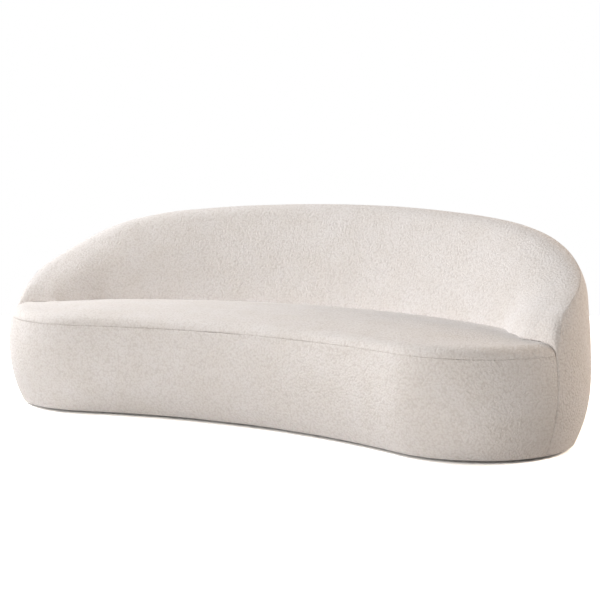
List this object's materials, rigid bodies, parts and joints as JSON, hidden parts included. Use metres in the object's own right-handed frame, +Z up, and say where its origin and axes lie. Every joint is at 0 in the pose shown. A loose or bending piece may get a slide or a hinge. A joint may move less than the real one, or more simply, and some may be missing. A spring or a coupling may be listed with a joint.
{
  "type": "sofa",
  "caption": "Low kidney-plan sofa with one sweeping arm-and-back pad, crowned tight seat, hollow front and a boucle cover over a sprung timber frame on levelling feet.",
  "frame": {"origin": "on the floor, below the middle of the sofa's width and depth", "axes": "+X to the right of a viewer facing the front, +Y towards the back, +Z up"},
  "size_m": [2.3799, 1.0238, 0.778],
  "materials": {
    "boucle_cover": "looped ivory boucle, matt",
    "foam": "open-cell upholstery foam and wadding, matt",
    "felt": "needled fibre felt, matt",
    "dust_cloth": "black non-woven dust cloth",
    "plywood": "raw birch plywood",
    "timber": "planed pine",
    "spring_steel": "oiled spring wire",
    "clip_steel": "stamped steel strip",
    "zinc_steel": "zinc plated",
    "foot_plastic": "moulded black nylon"
  },
  "bodies": {
    "sofa": {"base_ring": "plywood", "cross_bearer_1": "timber", "cross_bearer_2": "timber", "cross_bearer_3": "timber", "front_post_1": "timber", "front_post_2": "timber", "front_post_3": "timber", "front_post_4": "timber", "front_post_5": "timber", "front_post_6": "timber", "front_seat_rail": "timber", "back_seat_rail": "timber", "top_rail": "timber", "back_rib_1": "plywood", "back_rib_2": "plywood", "back_rib_3": "plywood", "back_rib_4": "plywood", "back_rib_5": "plywood", "back_rib_6": "plywood", "back_rib_7": "plywood", "back_rib_8": "plywood", "back_rib_9": "plywood", "front_board": "plywood", "outer_board": "plywood", "inner_board": "plywood", "seat_spring_1": "spring_steel", "seat_spring_2": "spring_steel", "seat_spring_3": "spring_steel", "seat_spring_4": "spring_steel", "seat_spring_5": "spring_steel", "seat_spring_6": "spring_steel", "seat_spring_7": "spring_steel", "seat_spring_8": "spring_steel", "seat_spring_9": "spring_steel", "seat_spring_10": "spring_steel", "seat_spring_11": "spring_steel", "tie_wire_1": "spring_steel", "tie_wire_2": "spring_steel", "spring_clips": "clip_steel", "frame_screws": "zinc_steel", "foot_nuts": "zinc_steel", "spring_felt": "felt", "seat_foam": "foam", "front_foam": "foam", "outer_wadding": "foam", "inside_back_foam": "foam", "seat_cover": "boucle_cover", "front_cover": "boucle_cover", "inside_back_cover": "boucle_cover", "outside_back_cover": "boucle_cover", "dust_cover": "dust_cloth"},
    "foot_1": {"levelling_foot_1": "foot_plastic"},
    "foot_2": {"levelling_foot_2": "foot_plastic"},
    "foot_3": {"levelling_foot_3": "foot_plastic"},
    "foot_4": {"levelling_foot_4": "foot_plastic"},
    "foot_5": {"levelling_foot_5": "foot_plastic"},
    "foot_6": {"levelling_foot_6": "foot_plastic"}
  },
  "joints": [
    {"name": "foot_1_level", "type": "slide", "parent": "sofa", "child": "foot_1", "axis": [0, 0, -1], "range_m": [0, 0.012]},
    {"name": "foot_2_level", "type": "slide", "parent": "sofa", "child": "foot_2", "axis": [0, 0, -1], "range_m": [0, 0.012]},
    {"name": "foot_3_level", "type": "slide", "parent": "sofa", "child": "foot_3", "axis": [0, 0, -1], "range_m": [0, 0.012]},
    {"name": "foot_4_level", "type": "slide", "parent": "sofa", "child": "foot_4", "axis": [0, 0, -1], "range_m": [0, 0.012]},
    {"name": "foot_5_level", "type": "slide", "parent": "sofa", "child": "foot_5", "axis": [0, 0, -1], "range_m": [0, 0.012]},
    {"name": "foot_6_level", "type": "slide", "parent": "sofa", "child": "foot_6", "axis": [0, 0, -1], "range_m": [0, 0.012]}
  ]
}
